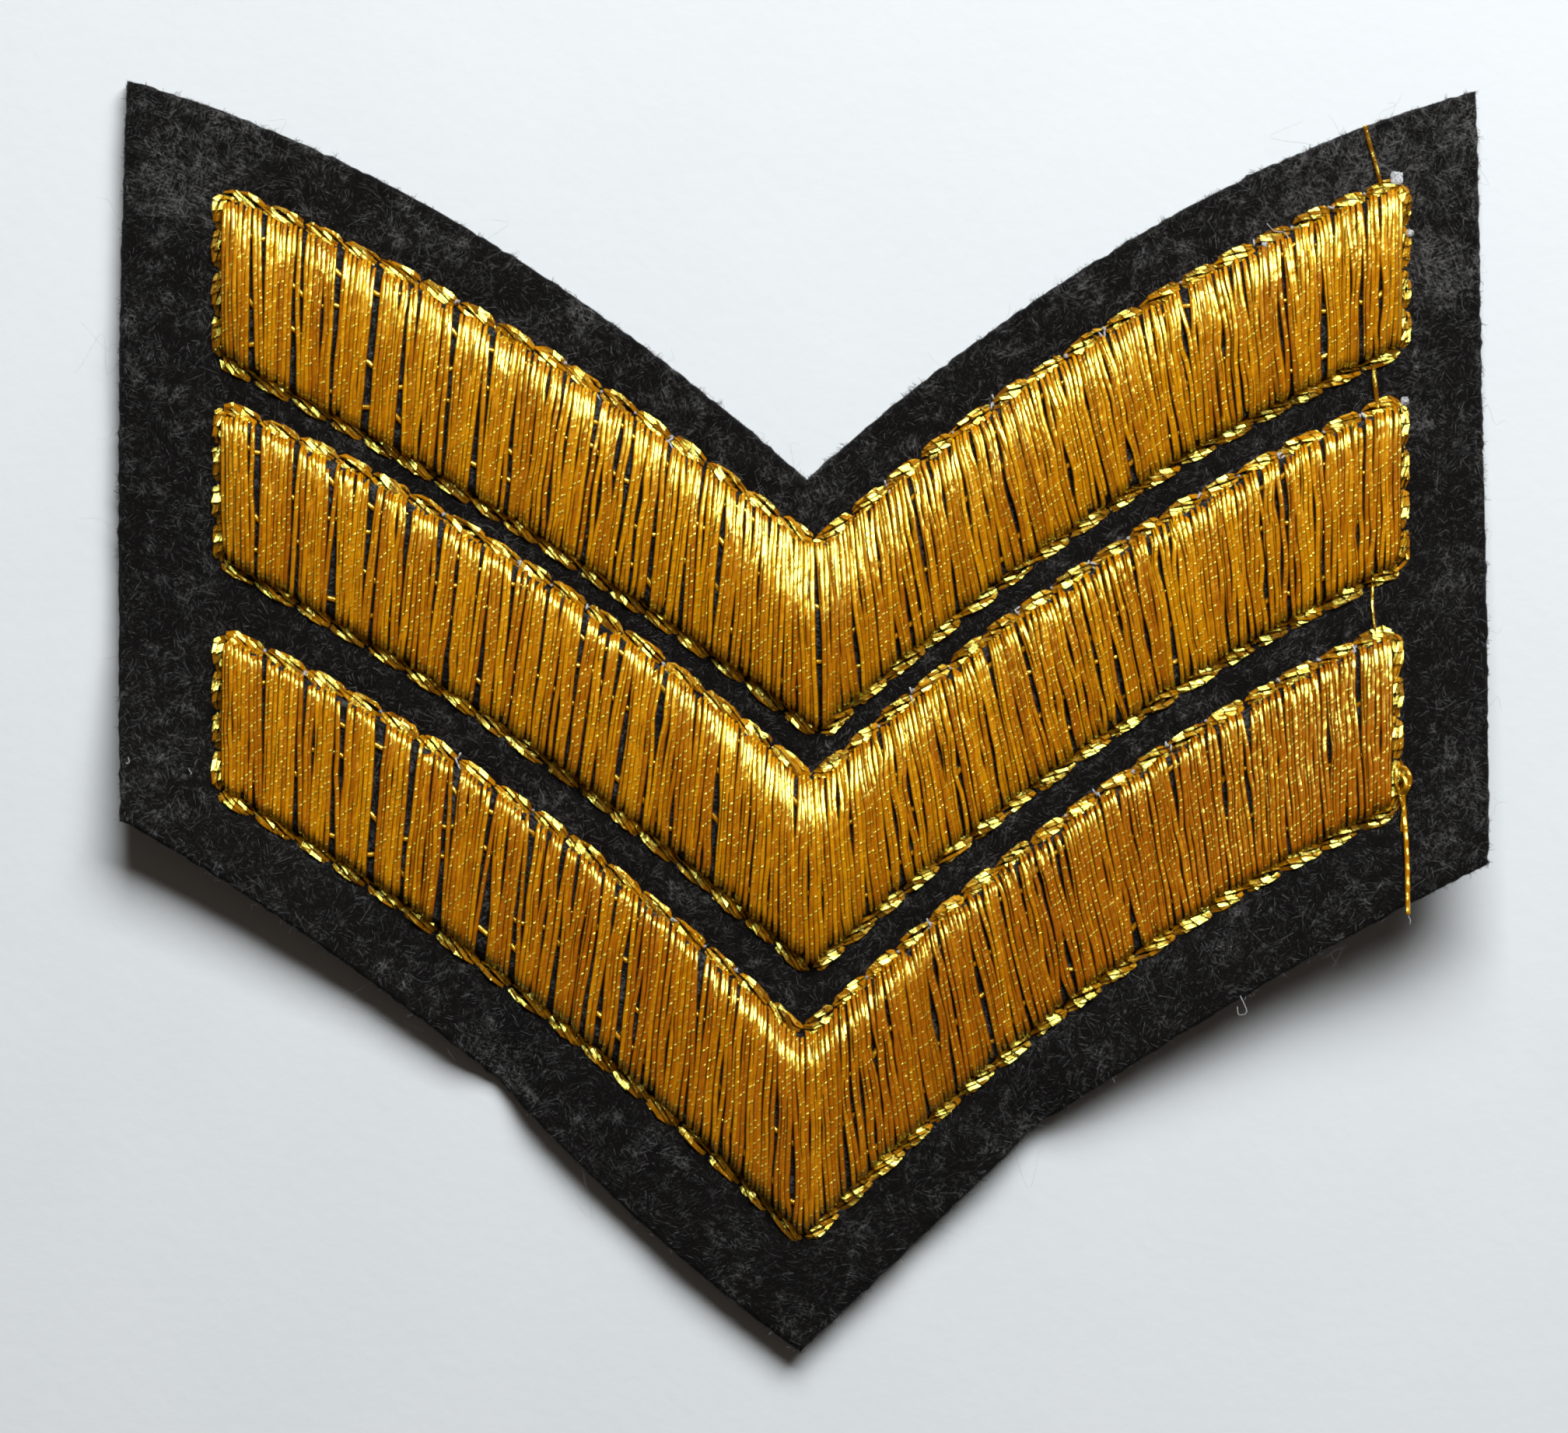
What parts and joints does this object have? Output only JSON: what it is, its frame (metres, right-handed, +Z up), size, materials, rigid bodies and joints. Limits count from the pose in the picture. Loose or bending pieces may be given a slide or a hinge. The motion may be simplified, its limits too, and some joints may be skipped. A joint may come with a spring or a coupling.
{
  "type": "rank patch",
  "caption": "Embroidered rank patch: padded gold satin chevrons with stitched edges on a cut black felt backing, lying flat with its lower corners lifted.",
  "frame": {"origin": "middle of the patch's bounding box, on the surface that it lies on", "axes": "+X to the right across both arms, +Y towards the open side of the chevrons, +Z up out of the embroidered face"},
  "size_m": [0.0878, 0.0818, 0.0069],
  "materials": {
    "black_felt": "matt needled felt with short pale fibres",
    "gold_satin": "bright metallised thread in satin stitch",
    "gold_edge": "bright metallised thread in running stitches",
    "bobbin_thread": "matt pale grey polyester thread"
  },
  "bodies": {
    "root": {"felt_backing": "black_felt", "bar_top": "gold_satin", "bar_middle": "gold_satin", "bar_bottom": "gold_satin", "border_top": "gold_edge", "border_middle": "gold_edge", "border_bottom": "gold_edge"}
  },
  "joints": []
}
